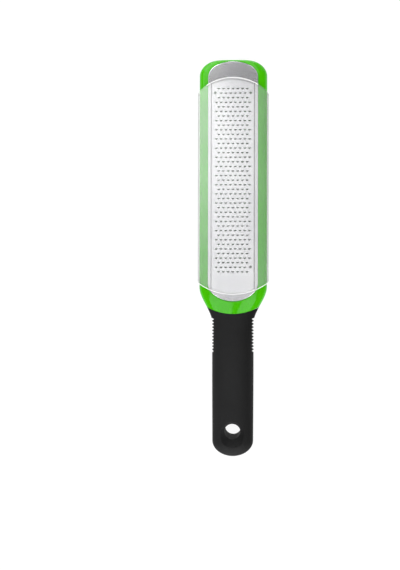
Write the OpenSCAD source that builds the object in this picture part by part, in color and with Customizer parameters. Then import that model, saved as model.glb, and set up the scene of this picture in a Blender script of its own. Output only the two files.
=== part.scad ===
// Rasp zester lying on its back, teeth up: a thin steel plate with etched teeth in a hard green
// frame, a soft black grip, and a clear cover that slides off over the tip.
// X runs across, Y along it with the tip at +Y, and Z up from the surface that it lies on.

/* [Frame] */
// Width over the two rails
frame_w = 54.45; // [53:0.05:58]
// Thickness of the rails
frame_t = 10.9; // [10:0.1:12]
// Height of the rails' underside over the table, room for the cover's lips and the foot
rail_lift = 2.5; // [2.2:0.1:3.2]
// Height of the rails' widest line over their underside
rail_belt = 3.7; // [3:0.1:5]
// Part of the tip's width that each rounded corner takes
tip_corner_w = 16; // [13:0.5:19]
// Length of the tip's rounded corners
tip_corner_l = 12.8; // [11:0.2:15]
// Rounding of the tip's upper edge, seen from the side
nose_top_r = 2.4; // [1.6:0.1:3]
// Rounding of the tip's lower edge, seen from the side
nose_low_r = 3.2; // [1.6:0.1:3.4]
// Distance before the plate's end at which the sides start to draw in
taper_back = 11.8; // [7:0.1:13]
// Length over which the sides draw in to the handle
taper_l = 28.9; // [26:0.1:32]
// Distance before the plate's end at which the upper side starts to rise to the handle
rise_back = 8.4; // [3:0.1:9]
// Length over which the upper side rises
rise_l = 46.5; // [36:0.5:54]
// Distance before the plate's end at which the underside starts to fall to the handle
fall_back = 8.4; // [5:0.1:8.4]
// Length over which the underside falls
fall_l = 24; // [18:1:30]
// Distance before the plate's end at which the upper side starts to lose its squareness
soften_back = 3.9; // [2:0.1:11]
// Length over which the upper side loses its squareness
soften_l = 34; // [26:0.5:38]
// Distance from the plate's end to the lowest point of the seam between frame and grip
seam_clear = 9.7; // [9:0.1:13]
// Radius of the seam's arc
seam_r = 43; // [38:0.5:50]

/* [Window] */
// Width of the opening under the teeth
window_w = 34; // [31:0.5:35]
// Plate that lies on the frame in front of the opening
window_front = 15.7; // [14.5:0.1:17]
// Plate that lies on the frame behind the opening
window_back = 16.9; // [14:0.1:20]
// Corner radius of the opening
window_r = 6; // [3:0.5:10]

/* [Blade] */
// Width of the plate
blade_w = 40.1; // [39:0.1:42]
// Length of the plate, which the cover, the opening and the rows of teeth follow
blade_l = 192.6; // [150:0.1:230]
// Thickness of the plate
blade_t = 0.5; // [0.4:0.05:0.7]
// Frame that shows in front of the plate
blade_at = 1.3; // [1.2:0.1:2.4]
// Depth of the lip turned down round the plate's edge, with the plate's thickness
blade_lip = 2.2; // [1.5:0.1:3]
// Height that the plate's face has left to the top of the rails
blade_drop = 0.2; // [0.1:0.05:0.4]
// Radius of the arched end at the tip
blade_tip_r = 31; // [27:0.5:36]
// Radius of the arched end at the handle
blade_back_r = 24; // [22.5:0.5:32]
// Radius of the corners
blade_corner_r = 11; // [8:0.5:12.5]
// Room round the lip in its groove
seat_gap = 0.1; // [0.05:0.01:0.15]

/* [Teeth] */
// Teeth in the longer rows
row_teeth = 8; // [6:1:8]
// Distance between rows
row_pitch = 3.67; // [3.3:0.01:4.2]
// Distance between teeth in a row
tooth_pitch = 3.8; // [3.4:0.05:3.9]
// Distance from the plate's front end to the first row
teeth_front = 21.7; // [20.5:0.1:23]
// Least distance from the last row to the plate's rear end
teeth_back = 22.5; // [20:0.1:26]
// Width of a tooth's crescent opening
tooth_w = 2.1; // [1.8:0.05:2.3]
// Opening of the crescent at its middle
tooth_gap = 0.7; // [0.5:0.05:0.9]
// Height that a tooth stands up over the plate
tooth_h = 0.5; // [0.3:0.05:0.6]
// Width of a tooth at its root
tooth_root_w = 1.9; // [1.6:0.05:2]
// Width of a tooth's raised tip
tooth_tip_w = 0.8; // [0.5:0.05:1]
// Lean of a tooth over its opening
tooth_lean = 20; // [0:1:25]
// Diameter of the locating holes
pin_hole_d = 2.3; // [1.8:0.1:2.6]
// Distance of the locating holes from the middle
pin_hole_x = 14.2; // [13.8:0.1:14.6]

/* [Grip] */
// Length of the soft grip along its middle, from the seam to the end
grip_l = 113.9; // [95:0.1:136]
// Width of the handle
handle_w = 33.2; // [30:0.2:38]
// Thickness of the handle
handle_t = 20.6; // [19:0.2:24]
// Thickness that the handle has lost at its end
end_drop = 1.6; // [0:0.1:2.5]
// Width that the handle has lost at its end
end_narrow = 0.5; // [0:0.1:1.5]
// Distance from the end at which the handle starts to thin and narrow
thin_l = 70; // [50:1:75]
// Length of the rounded end
end_l = 12.5; // [12:0.1:16]
// Thickness of the soft skin over the frame's core
grip_wall = 4.2; // [3.5:0.1:4.6]
// Distance from the hang hole's middle at which the core ends
core_back = 17; // [16.5:0.5:25]
// Notches on each side, with the fins between them
notches = 11; // [7:1:12]
// Distance between notches
notch_pitch = 2.54; // [2.3:0.02:2.7]
// Width of a notch at its mouth
notch_w = 2; // [1.5:0.1:2.2]
// Width of a notch at its floor
notch_floor_w = 0.4; // [0.2:0.1:1]
// Depth of a notch
notch_deep = 1.5; // [0.8:0.1:1.8]
// Distance from the seam's lowest point to the first notch
notch_clear = 3.4; // [3.2:0.1:8]

/* [Hang hole] */
// Diameter of the hole
hang_d = 12.8; // [11:0.2:14]
// Distance from the handle's end to the middle of the hole
hang_at = 21.6; // [21:0.1:24]
// Slant of the hole, its upper mouth being nearer the end
hang_tilt = 12; // [10:1:18]
// Radius of the scoop round each mouth of the hole
scoop_r = 10.5; // [9.5:0.1:11]
// Depth of the scoop
scoop_deep = 4.5; // [3:0.1:5]
// Distance along the handle from the hole's middle to each scoop's
scoop_shift = 4.5; // [3.5:0.1:5.5]

/* [Cover] */
// Plate that shows in front of the cover, along the middle
cover_front = 12.8; // [12:0.1:13.2]
// Plate that shows behind the cover, along the middle
cover_back = 5.5; // [2.8:0.1:7]
// Thickness of the cover's wall
cover_t = 1; // [0.8:0.05:1.2]
// Room between the cover and what it slides on
cover_gap = 0.35; // [0.3:0.01:0.45]
// Radius of the cover's arched end at the tip
cover_tip_r = 38; // [34:0.5:50]
// Radius of the cover's arched end at the handle
cover_back_r = 47; // [36:0.5:56]
// Corner radius of the cover, seen from above
cover_corner_r = 3; // [2:0.1:4]
// Width of the raised panel
panel_w = 34.6; // [33:0.1:36]
// Height of the raised panel over the rest of the cover
panel_h = 0.8; // [0.5:0.05:1]
// Slope along the panel's edges, seen from above
panel_bevel = 0.8; // [0.5:0.05:1.2]
// Strip left round the panel at the cover's ends
panel_margin = 1.2; // [1:0.1:2.5]
// Distance that the lips reach in under the rails
lip_in = 7; // [5:0.1:7.5]

/* [Foot] */
// Width of the foot
foot_w = 30; // [26:0.5:34]
// Length of the foot
foot_l = 9; // [7:0.5:9.5]
// Distance from the tip to the foot
foot_at = 5; // [4.8:0.1:5.4]
// Depth of the foot's seat in the frame
foot_in = 1; // [0.6:0.1:1.5]

/* [Hidden] */
over = 1;
facets = 48;
core_facets = 32;
blade_end = blade_at + blade_l;
taper_at = blade_end - taper_back;
rise_at = blade_end - rise_back;
fall_at = blade_end - fall_back;
soften_at = blade_end - soften_back;
seam_at = blade_end + seam_clear;
overall_l = seam_at + grip_l;
tip_y = overall_l / 2;
window_at = blade_at + window_front;
window_l = blade_l - window_front - window_back;
cover_at = blade_at + cover_front;
cover_l = blade_l - cover_front - cover_back;
first_row = blade_at + teeth_front;
tooth_rows = 2 * floor((blade_l - teeth_front - teeth_back) / (2 * row_pitch)) + 1;
notch_at = seam_at + notch_clear;
foot_r = foot_l * 0.45;
rail_low = rail_lift;
rail_top = rail_lift + frame_t;
rail_mid = rail_lift + rail_belt;
plate_z = rail_top - blade_drop;
teeth_top = plate_z + tooth_h;
cover_w = frame_w + 2 * (cover_gap + cover_t);
cover_in_z = teeth_top + cover_gap;
cover_y = tip_y - cover_at - cover_l / 2;
panel_slice_t = panel_h / 10;
hang_y = hang_at - overall_l / 2;
end_t = handle_t - end_drop;
core_end = overall_l - hang_at - core_back;
tooth_r = tooth_w / 2;

// Squareness of the sections: 2 is an ellipse, and more is squarer
rail_top_n = 3.4;
rail_low_n = 5;
handle_n = 2.4;

// Share of the handle's width left flat at its very end, and how blunt that end is from the side
end_flat = 0.08;
end_blunt = 0.7;

// Sections along each stretch of the body
tip_rings = 10;
neck_rings = 18;
handle_rings = 4;
end_rings = 9;

function y_at(d) = tip_y - d;
function share(d, at, l) = min(1, max(0, (d - at) / l));
function ease(s) = s * s * (3 - 2 * s);
function mix(a, b, s) = a + (b - a) * s;
function to_handle(d) = ease(share(d, taper_at, taper_l));
function arc_share(s) = sqrt(max(0, 1 - (1 - s) * (1 - s)));
function end_share(d) = share(d, overall_l - end_l, end_l);
function end_round(d) = max(end_flat, sqrt(max(0, 1 - pow(end_share(d), 2))));

function tip_cut(d) = tip_corner_w * (1 - arc_share(share(d, 0, tip_corner_l)));
function to_end(d) = ease(share(d, overall_l - thin_l, thin_l));
function handle_side(d) = handle_w - end_narrow * to_end(d);
function half_w(d) =
    (mix(frame_w, handle_side(d), to_handle(d)) / 2 - tip_cut(d)) * end_round(d);
function handle_top(d) = mix(handle_t, end_t, to_end(d));
function full_top(d) =
    mix(rail_top, handle_top(d), ease(share(d, rise_at, rise_l)))
    - nose_top_r * (1 - arc_share(share(d, 0, nose_top_r)));
function full_low(d) =
    mix(rail_low, 0, ease(share(d, fall_at, fall_l)))
    + nose_low_r * (1 - arc_share(share(d, 0, nose_low_r)));
function mid_z(d) = mix(rail_mid, end_t / 2, to_handle(d));
function top_z(d) = mix(mid_z(d), full_top(d), pow(end_round(d), end_blunt));
function low_z(d) = mix(mid_z(d), full_low(d), pow(end_round(d), end_blunt));
function top_n(d) = mix(rail_top_n, handle_n, ease(share(d, soften_at, soften_l)));
function low_n(d) = mix(rail_low_n, handle_n, to_handle(d));

function power(v, n) = sign(v) * pow(abs(v), 2 / n);
function round_x(a, w, n) = w * power(cos(a), n);
function round_z(a, mid, top, low, n) =
    mid + (sin(a) > 0 ? top - mid : mid - low) * power(sin(a), n);
function ring_n(a, nt, nl) = sin(a) > 0 ? nt : nl;
function ring(w, mid, top, low, nt, nl, count) = [
    for (i = [0 : count - 1])
        let (a = 360 * i / count, n = ring_n(a, nt, nl))
            [round_x(a, w, n), round_z(a, mid, top, low, n)]
];
function section(d, skin, count) =
    ring(half_w(d) - skin, mid_z(d), top_z(d) - skin, low_z(d) + skin,
         top_n(d), low_n(d), count);

// Distances from the tip at which the body's sections stand
neck_end = rise_at + rise_l;
tip_steps = [
    for (i = [0 : tip_rings - 1])
        tip_corner_l * (1 - cos(90 * i / tip_rings))
];
neck_steps = [
    for (i = [0 : neck_rings - 1])
        mix(taper_at, neck_end, i / (neck_rings - 1))
];
handle_steps = [
    for (i = [1 : handle_rings - 1])
        mix(neck_end, overall_l - end_l, i / handle_rings)
];
end_steps = [
    for (i = [0 : end_rings])
        overall_l - end_l + end_l * sin(90 * i / end_rings)
];

// A solid through the sections at the given distances from the tip, drawn in by skin
module body(steps, skin = 0, count = facets) {
    points = [
        for (d = steps)
            for (p = section(d, skin, count))
                [p[0], y_at(d), p[1]]
    ];
    last = (len(steps) - 1) * count;
    walls = [
        for (k = [0 : len(steps) - 2])
            for (i = [0 : count - 1])
                let (j = (i + 1) % count, a = k * count, b = a + count)
                    each [[a + i, b + j, a + j], [a + i, b + i, b + j]]
    ];
    near_cap = [[for (i = [0 : count - 1]) i]];
    far_cap = [[for (i = [count - 1 : -1 : 0]) last + i]];
    polyhedron(points, concat(walls, near_cap, far_cap));
}

// Everything on the tip's side of the seam
module front_side() {
    translate([0, y_at(seam_at - seam_r), -over])
        linear_extrude(handle_t + 2 * over) {
            circle(seam_r, $fn = 180);
            translate([-frame_w, 0])
                square([2 * frame_w, seam_at + over]);
        }
}

// A strip with arched ends and rounded corners, centred, and then drawn in by inset
module arched(w, l, tip_r, back_r, corner_r, inset = 0) {
    offset(r = corner_r - inset, $fn = 96)
        offset(delta = -corner_r)
            intersection() {
                square([w, l], center = true);
                union() {
                    translate([0, l / 2 - tip_r])
                        circle(tip_r, $fn = 180);
                    translate([0, back_r - l / 2])
                        circle(back_r, $fn = 180);
                    translate([-w / 2, back_r - l / 2])
                        square([w, l - tip_r - back_r]);
                }
            }
}

module blade_outline(inset = 0) {
    translate([0, y_at(blade_at + blade_l / 2)])
        arched(blade_w, blade_l, blade_tip_r, blade_back_r, blade_corner_r, inset);
}

// A rounded oblong, seen from above, from one distance from the tip over a length
module oblong(from, l, w, r) {
    translate([-w / 2 + r, y_at(from + l) + r])
        square([w - 2 * r, l - 2 * r]);
    translate([-w / 2, y_at(from + l) + r])
        square([w, l - 2 * r]);
    translate([-w / 2 + r, y_at(from + l)])
        square([w - 2 * r, l]);
    for (x = [-w / 2 + r, w / 2 - r])
        for (y = [y_at(from + l) + r, y_at(from) - r])
            translate([x, y])
                circle(r, $fn = 64);
}

module core() {
    steps = concat(
        [for (d = neck_steps) if (d > seam_at - 2 * grip_wall) d],
        [for (d = handle_steps) if (d < core_end - over) d],
        [core_end]);
    body(steps, grip_wall, core_facets);
}

module frame() {
    color("LimeGreen") {
        difference() {
            intersection() {
                body(concat(tip_steps, neck_steps));
                front_side();
            }
            translate([0, 0, -over])
                linear_extrude(rail_top + 2 * over)
                    oblong(window_at, window_l, window_w, window_r);
            translate([0, 0, plate_z - blade_t])
                linear_extrude(blade_t + handle_t)
                    blade_outline(-seat_gap);
            translate([0, 0, plate_z - blade_lip - seat_gap])
                linear_extrude(blade_lip + over)
                    difference() {
                        blade_outline(-seat_gap);
                        blade_outline(blade_t + seat_gap);
                    }
            translate([0, 0, -over])
                linear_extrude(over + rail_lift + foot_in)
                    oblong(foot_at, foot_l, foot_w, foot_r);
        }
        core();
    }
}

function tooth_y(row) = y_at(first_row + (row - 1) * row_pitch);
function long_row(row) = row % 2 == 0;
function teeth_in(row) = long_row(row) ? row_teeth : row_teeth - 1;
function tooth_x(row, i) = (i - (teeth_in(row) - 1) / 2) * tooth_pitch;
function has_left_hole(row) = row == 2;
function has_right_hole(row) = row == 2 || row == tooth_rows - 1;
function is_tooth(row, i) =
    !(has_left_hole(row) && i == 0)
    && !(has_right_hole(row) && i == teeth_in(row) - 1);

module each_tooth() {
    for (row = [1 : tooth_rows])
        for (i = [0 : teeth_in(row) - 1])
            if (is_tooth(row, i))
                translate([tooth_x(row, i), tooth_y(row)])
                    children();
}

// A smile-shaped opening: a round hole less a round tongue that hangs into it from the tip's side
module crescent() {
    difference() {
        circle(tooth_r, $fn = 32);
        translate([0, tooth_gap])
            circle(tooth_r, $fn = 32);
    }
}

module locating_holes() {
    for (row = [2, tooth_rows - 1])
        for (side = row == 2 ? [-1, 1] : [1])
            translate([side * pin_hole_x, tooth_y(row)])
                circle(d = pin_hole_d, $fn = 48);
}

// One raised tooth, a blunt cone on the tongue that leans over the opening
module tooth() {
    translate([0, tooth_gap, plate_z - blade_t / 2])
        rotate([tooth_lean, 0, 0])
            cylinder(d1 = tooth_root_w, d2 = tooth_tip_w, h = tooth_h + blade_t / 2, $fn = 24);
}

module blade() {
    color("Silver") {
        each_tooth() tooth();
        translate([0, 0, plate_z - blade_t])
            linear_extrude(blade_t)
                difference() {
                    blade_outline();
                    each_tooth() crescent();
                    locating_holes();
                }
        translate([0, 0, plate_z - blade_lip])
            linear_extrude(blade_lip - blade_t)
                difference() {
                    blade_outline();
                    blade_outline(blade_t);
                }
    }
}

// One notch seen from above, its mouth in the handle's side and its floor towards the middle
module notch_outline() {
    side = handle_w / 2;
    polygon([
        [side - notch_deep, notch_floor_w / 2],
        [side - notch_deep, -notch_floor_w / 2],
        [side, -notch_w / 2],
        [2 * side, -notch_w / 2],
        [2 * side, notch_w / 2],
        [side, notch_w / 2]
    ]);
}

module notch_cutters() {
    for (k = [0 : notches - 1])
        translate([0, y_at(notch_at + k * notch_pitch + notch_w / 2), -over])
            linear_extrude(handle_t + 2 * over)
                for (turn = [0, 180])
                    rotate(turn)
                        notch_outline();
}

module hang_hole() {
    translate([0, hang_y, end_t / 2])
        rotate([hang_tilt, 0, 0])
            cylinder(d = hang_d, h = 2 * handle_t, center = true, $fn = 96);
}

// One scoop, a dish cut by a ball that meets the handle's face in a circle
module scoop(side) {
    ball_r = (scoop_r * scoop_r + scoop_deep * scoop_deep) / (2 * scoop_deep);
    translate([0, hang_y - side * scoop_shift,
               end_t / 2 + side * (end_t / 2 - scoop_deep + ball_r)])
        sphere(ball_r, $fn = 96);
}

module grip() {
    color("DimGray")
        difference() {
            body(concat([for (d = neck_steps) if (d > taper_at) d],
                        handle_steps, end_steps));
            front_side();
            core();
            notch_cutters();
            hang_hole();
            scoop(1);
            scoop(-1);
        }
}

// The sleeve's section, its wall drawn out by grow from the room inside
module sleeve_section(grow) {
    intersection() {
        polygon(ring(frame_w / 2 + cover_gap + grow, rail_mid,
                     cover_in_z + cover_t + grow, rail_low - cover_gap - grow,
                     rail_top_n, rail_low_n, 2 * facets));
        translate([-cover_w, -over - grow])
            square([2 * cover_w, cover_in_z + grow + over + grow]);
    }
}

module cover_outline(inset = 0) {
    translate([0, cover_y])
        arched(cover_w, cover_l, cover_tip_r, cover_back_r, cover_corner_r, inset);
}

module sleeve(grow, l) {
    translate([0, cover_y + l / 2, 0])
        rotate([90, 0, 0])
            linear_extrude(l)
                sleeve_section(grow);
}

module panel_slice(grow, z) {
    translate([0, 0, z])
        linear_extrude(panel_slice_t)
            intersection() {
                cover_outline(panel_margin - grow);
                translate([0, cover_y])
                    square([panel_w + 2 * grow, cover_l], center = true);
            }
}

// The raised panel's block with its sloping edges, standing on the given height
module panel_block(z) {
    hull() {
        panel_slice(panel_bevel / 2, z);
        panel_slice(-panel_bevel / 2, z + panel_h - panel_slice_t);
    }
}

// The open strip between the lips on the underside
module lip_gap() {
    w = frame_w + 2 * (cover_gap - lip_in);
    translate([-w / 2, cover_y - cover_l, -over])
        cube([w, 2 * cover_l, over + rail_mid]);
}

module cover() {
    color("WhiteSmoke")
        difference() {
            intersection() {
                union() {
                    sleeve(cover_t, cover_l);
                    panel_block(cover_in_z + cover_t);
                }
                translate([0, 0, -over])
                    linear_extrude(handle_t + 2 * over)
                        cover_outline();
            }
            sleeve(0, cover_l + 2 * over);
            panel_block(cover_in_z);
            lip_gap();
        }
}

module tip_foot() {
    color("DimGray")
        linear_extrude(rail_lift + foot_in)
            oblong(foot_at, foot_l, foot_w, foot_r);
}

frame();
blade();
grip();
cover();
tip_foot();
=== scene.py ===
# %% [markdown]
# # A rasp zester, dressed for the camera
# The tool lies on its back with its teeth up. It has a hard green frame, an etched steel plate,
# a soft black grip and a frosted cover that slides off over the tip. The solids come in as a
# fixed frame, and each visible piece is then built again here with finer edges and a real finish.
# Lengths are written in millimetres and turned into metres by one factor, because that is how a
# maker would measure such a tool.

import math

import bmesh
import bpy
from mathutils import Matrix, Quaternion, Vector, geometry


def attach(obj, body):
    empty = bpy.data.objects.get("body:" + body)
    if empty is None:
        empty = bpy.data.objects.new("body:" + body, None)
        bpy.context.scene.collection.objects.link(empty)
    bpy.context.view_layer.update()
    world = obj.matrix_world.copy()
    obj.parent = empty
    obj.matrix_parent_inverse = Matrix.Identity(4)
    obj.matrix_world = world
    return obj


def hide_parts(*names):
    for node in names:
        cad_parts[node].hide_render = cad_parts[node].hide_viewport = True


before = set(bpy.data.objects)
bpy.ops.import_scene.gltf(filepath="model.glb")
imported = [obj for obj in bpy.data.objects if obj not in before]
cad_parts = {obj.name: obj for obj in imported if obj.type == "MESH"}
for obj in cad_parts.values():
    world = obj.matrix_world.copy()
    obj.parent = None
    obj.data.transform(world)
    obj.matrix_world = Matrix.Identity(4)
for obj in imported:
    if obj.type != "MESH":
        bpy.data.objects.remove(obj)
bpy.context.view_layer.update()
MM = 0.001

# %% [markdown]
# ## The body's shape
# Frame and grip share one outer skin, as they do on the real tool, where the grip is moulded
# flush over the frame. The skin could be sculpted, but a loft is easier to keep true: at each
# distance from the tip there is one closed section, and its width, top, bottom and squareness
# are plain functions of that distance. The numbers are those of the solids. A section is a
# squared oval: the power 2 would make it an ellipse, and a higher one makes it squarer.

# %% Sizes of the frame and the grip
OVERALL_L, FRAME_W, HANDLE_W = 317.5, 54.45, 33.2
RAIL_LOW, RAIL_TOP, RAIL_MID = 2.5, 13.4, 6.2
HANDLE_T, END_T = 20.6, 19.0
TAPER_AT, TAPER_L = 182.1, 28.9
RISE_AT, RISE_L, FALL_AT, FALL_L = 185.5, 46.5, 185.5, 24.0
CORNER_W, CORNER_L, NOSE_TOP_R, NOSE_LOW_R = 16.0, 12.8, 2.4, 3.2
END_L, THIN_L, END_NARROW, END_LEAST, END_BLUNT = 12.5, 70.0, 0.5, 0.03, 0.7
SOFTEN_AT, SOFTEN_L = 190.0, 34.0
SEAM_AT, SEAM_R = 203.6, 43.0
TOP_POWER, LOW_POWER, HANDLE_POWER = 3.4, 5.0, 2.4


def share(d, start, length):
    """How far d is along a stretch, from 0 at its start to 1 at its end."""
    return min(1.0, max(0.0, (d - start) / length))


def ease(s):
    return s * s * (3 - 2 * s)


def mix(a, b, s):
    return a + (b - a) * s


def arc_share(s):
    """A share that grows like the height of a quarter circle."""
    return math.sqrt(max(0.0, 1 - (1 - s) ** 2))


def powered(v, power):
    """A power that keeps the sign."""
    return math.copysign(abs(v) ** power, v)


def to_handle(d):
    return ease(share(d, TAPER_AT, TAPER_L))


def end_round(d):
    """How much of the section is left where the handle's end rounds off."""
    return max(END_LEAST, math.sqrt(max(0.0, 1 - share(d, OVERALL_L - END_L, END_L) ** 2)))


def to_end(d):
    return ease(share(d, OVERALL_L - THIN_L, THIN_L))


def half_width(d):
    corner = CORNER_W * (1 - arc_share(share(d, 0, CORNER_L)))
    handle = HANDLE_W - END_NARROW * to_end(d)
    return (mix(FRAME_W, handle, to_handle(d)) / 2 - corner) * end_round(d)


def section(d, count):
    """The closed section at a distance from the tip, as (x, z) in millimetres."""
    handle_top = mix(HANDLE_T, END_T, to_end(d))
    top = mix(RAIL_TOP, handle_top, ease(share(d, RISE_AT, RISE_L)))
    top -= NOSE_TOP_R * (1 - arc_share(share(d, 0, NOSE_TOP_R)))
    low = mix(RAIL_LOW, 0.0, ease(share(d, FALL_AT, FALL_L)))
    low += NOSE_LOW_R * (1 - arc_share(share(d, 0, NOSE_LOW_R)))
    middle = mix(RAIL_MID, END_T / 2, to_handle(d))
    blunt = end_round(d) ** END_BLUNT
    top, low = mix(middle, top, blunt), mix(middle, low, blunt)
    width = half_width(d)
    top_n = mix(TOP_POWER, HANDLE_POWER, ease(share(d, SOFTEN_AT, SOFTEN_L)))
    low_n = mix(LOW_POWER, HANDLE_POWER, to_handle(d))
    points = []
    for i in range(count):
        a = 2 * math.pi * i / count
        c, s = math.cos(a), math.sin(a)
        n, rise = (top_n, top - middle) if s > 0 else (low_n, middle - low)
        points.append((width * powered(c, 2 / n), middle + rise * powered(s, 2 / n)))
    return points


print("half width at 100 mm:", round(half_width(100), 2), "at 250 mm:", round(half_width(250), 2))

# %% [markdown]
# ## Small mesh helpers
# A mesh is only points and faces, so a few short helpers make all the pieces: one skins a row of
# sections, one stands a flat outline up into a block to cut with, and one bakes a piece's
# modifiers into its mesh, so that nothing is left to go wrong later.

# %% Mesh helpers
# Heights under and over the whole tool, for blocks that cut right through it.
UNDER, OVER = -5, 30


def y_at(d):
    """Where a distance from the tip lies: the tip points to +y and the middle is at 0."""
    return OVERALL_L / 2 - d


def link(name, data):
    obj = bpy.data.objects.new(name, data)
    bpy.context.scene.collection.objects.link(obj)
    return obj


def new_object(name, points, faces):
    mesh = bpy.data.meshes.new(name)
    mesh.from_pydata([Vector(p) * MM for p in points], [], faces)
    mesh.validate()
    return link(name, mesh)


def from_bmesh(name, bm):
    mesh = bpy.data.meshes.new(name)
    bm.to_mesh(mesh)
    bm.free()
    return link(name, mesh)


def loft(name, distances, count):
    points, faces = [], []
    for d in distances:
        points += [(x, y_at(d), z) for x, z in section(d, count)]
    for k in range(len(distances) - 1):
        a, b = k * count, (k + 1) * count
        for i in range(count):
            j = (i + 1) % count
            faces.append((a + i, a + j, b + j, b + i))
    faces.append(tuple(reversed(range(count))))
    faces.append(tuple((len(distances) - 1) * count + i for i in range(count)))
    return new_object(name, points, faces)


def block(name, outline, low=UNDER, high=OVER):
    n = len(outline)
    points = [(x, y, low) for x, y in outline] + [(x, y, high) for x, y in outline]
    faces = [(i, (i + 1) % n, n + (i + 1) % n, n + i) for i in range(n)]
    faces += [tuple(reversed(range(n))), tuple(range(n, 2 * n))]
    return new_object(name, points, faces)


def bake(obj):
    graph = bpy.context.evaluated_depsgraph_get()
    mesh = bpy.data.meshes.new_from_object(obj.evaluated_get(graph))
    obj.modifiers.clear()
    obj.data = mesh


def cut(obj, tool, how="DIFFERENCE"):
    m = obj.modifiers.new("cut", "BOOLEAN")
    m.operation, m.object, m.solver = how, tool, "EXACT"
    bake(obj)
    bpy.data.objects.remove(tool)


def outward(obj):
    bm = bmesh.new()
    bm.from_mesh(obj.data)
    bmesh.ops.recalc_face_normals(bm, faces=bm.faces)
    bm.to_mesh(obj.data)
    bm.free()


def smooth(obj, angle=35):
    obj.data.shade_smooth()
    obj.data.set_sharp_from_angle(angle=math.radians(angle))


def soften(obj, width, angle=40, segments=2):
    """Rounds each edge that is sharper than an angle in degrees."""
    m = obj.modifiers.new("edge", "BEVEL")
    m.width, m.segments, m.limit_method = width * MM, segments, "ANGLE"
    m.angle_limit, m.use_clamp_overlap, m.harden_normals = math.radians(angle), True, False
    bake(obj)


def span(start, end, steps):
    return [mix(start, end, i / steps) for i in range(steps + 1)]


def arc(cx, cy, r, start, end, steps):
    angles = [math.radians(a) for a in span(start, end, steps)]
    return [(cx + r * math.cos(a), cy + r * math.sin(a)) for a in angles]


def oblong(start, length, width, r, steps=12):
    top, low = y_at(start) - r, y_at(start + length) + r
    x = width / 2 - r
    corners = ((x, top, 0), (-x, top, 90), (-x, low, 180), (x, low, 270))
    return [point for cx, cy, turn in corners for point in arc(cx, cy, r, turn, turn + 90, steps)]


def arched(start, length, width, end_rs, corner_r, inset=0.0, steps=(10, 24)):
    """A strip with arched ends and rounded corners, its points running anticlockwise."""
    cx, r = width / 2 - corner_r, corner_r - inset
    quarter, crown = steps
    points = []
    for side, end_r in zip((1, -1), end_rs):
        rise = math.sqrt((end_r - corner_r) ** 2 - cx**2)
        lean = math.degrees(math.atan2(rise, cx))
        turn = 0 if side > 0 else 180
        centre = y_at(start + length / 2) + side * (length / 2 - end_r)
        points += arc(side * cx, centre + side * rise, r, turn, turn + lean, quarter)
        points += arc(0, centre, end_r - inset, turn + lean, turn + 180 - lean, crown)[1:-1]
        points += arc(-side * cx, centre + side * rise, r, turn + 180 - lean, turn + 180, quarter)
    return points


print("shape helpers ready")

# %% [markdown]
# ## The green frame
# On the real tool this is one injection moulding: two rails, a nose, a neck, and a shallow seat
# that the plate drops into. It is lofted a little past the seam, trimmed there by a cylinder, and
# the window, the plate's seat and the foot's seat are cut with blocks. Cutting after lofting
# keeps the skin's curves clean, and a small bevel then rounds every cut edge as a mould would.

# %% Build the frame
# Each is a start, a length, a width, then the end radii of the plate and the corner radius.
PLATE = (1.3, 192.6, 40.1, (31.0, 24.0), 11.0)
WINDOW, FOOT = (17, 160, 34, 6), (5, 9, 30, 4.05)
PLATE_Z, PLATE_T, PLATE_LIP, SEAT_GAP, FOOT_H = 13.2, 0.5, 2.2, 0.1, 3.5
PAST_TIP, LOFT_END = 5, 214
FRAME_POINTS, SEAM_STEPS, CURVE_STEPS, RAIL_STEPS, NECK_STEPS = 96, 96, 20, 16, 40


def seam_block(name, gap):
    """The end of a cylinder that stands on the seam, drawn out past the tip."""
    r = SEAM_R + gap
    outline = arc(0, y_at(SEAM_AT - SEAM_R), r, 180, 360, SEAM_STEPS)
    return block(name, outline + [(r, y_at(-PAST_TIP)), (-r, y_at(-PAST_TIP))])


quarter = [math.radians(90 * i / CURVE_STEPS) for i in range(CURVE_STEPS + 1)]
tip_steps = [CORNER_L * (1 - math.cos(a)) for a in quarter[:-1]]
rail_steps = span(CORNER_L, TAPER_AT, RAIL_STEPS)
neck_steps = span(TAPER_AT, RISE_AT + RISE_L, NECK_STEPS)[1:]
frame_steps = tip_steps + rail_steps + [d for d in neck_steps if d < LOFT_END]
frame_shell = loft("frame_shell", frame_steps, FRAME_POINTS)
cut(frame_shell, seam_block("seam_tool", gap=0.0), "INTERSECT")
cut(frame_shell, block("window_tool", oblong(*WINDOW)))
seat = arched(*PLATE, inset=-SEAT_GAP)
cut(frame_shell, block("seat_tool", seat, low=PLATE_Z - PLATE_LIP - SEAT_GAP))
cut(frame_shell, block("foot_tool", oblong(*FOOT), high=FOOT_H))
outward(frame_shell)
soften(frame_shell, width=0.35)
smooth(frame_shell)
print("frame faces:", len(frame_shell.data.polygons))

# %% [markdown]
# ## The soft grip
# The grip is a thick rubbery skin. Near the neck each side has a row of thin fins, made here by
# cutting notches between them. One object holds all the notches of a side, so that each side
# takes a single cut.

# %% Build the grip and its fins
NOTCHES, NOTCH_AT, NOTCH_PITCH = 11, 207.0, 2.54
NOTCH_W, NOTCH_FLOOR_W, NOTCH_DEEP = 2.0, 0.4, 1.5
GRIP_POINTS, GRIP_FIRST_STEP, HANDLE_STEPS = 128, 4, 14


def notch_outline(k, side):
    """A notch seen from above, wide at the handle's side and narrow at its floor."""
    x, y = HANDLE_W / 2, y_at(NOTCH_AT + k * NOTCH_PITCH + NOTCH_W / 2)
    inner, floor, mouth = x - NOTCH_DEEP, NOTCH_FLOOR_W / 2, NOTCH_W / 2
    points = [(inner, y + floor), (inner, y - floor), (x, y - mouth)]
    points += [(2 * x, y - mouth), (2 * x, y + mouth), (x, y + mouth)]
    return points if side > 0 else [(-px, py) for px, py in reversed(points)]


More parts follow.
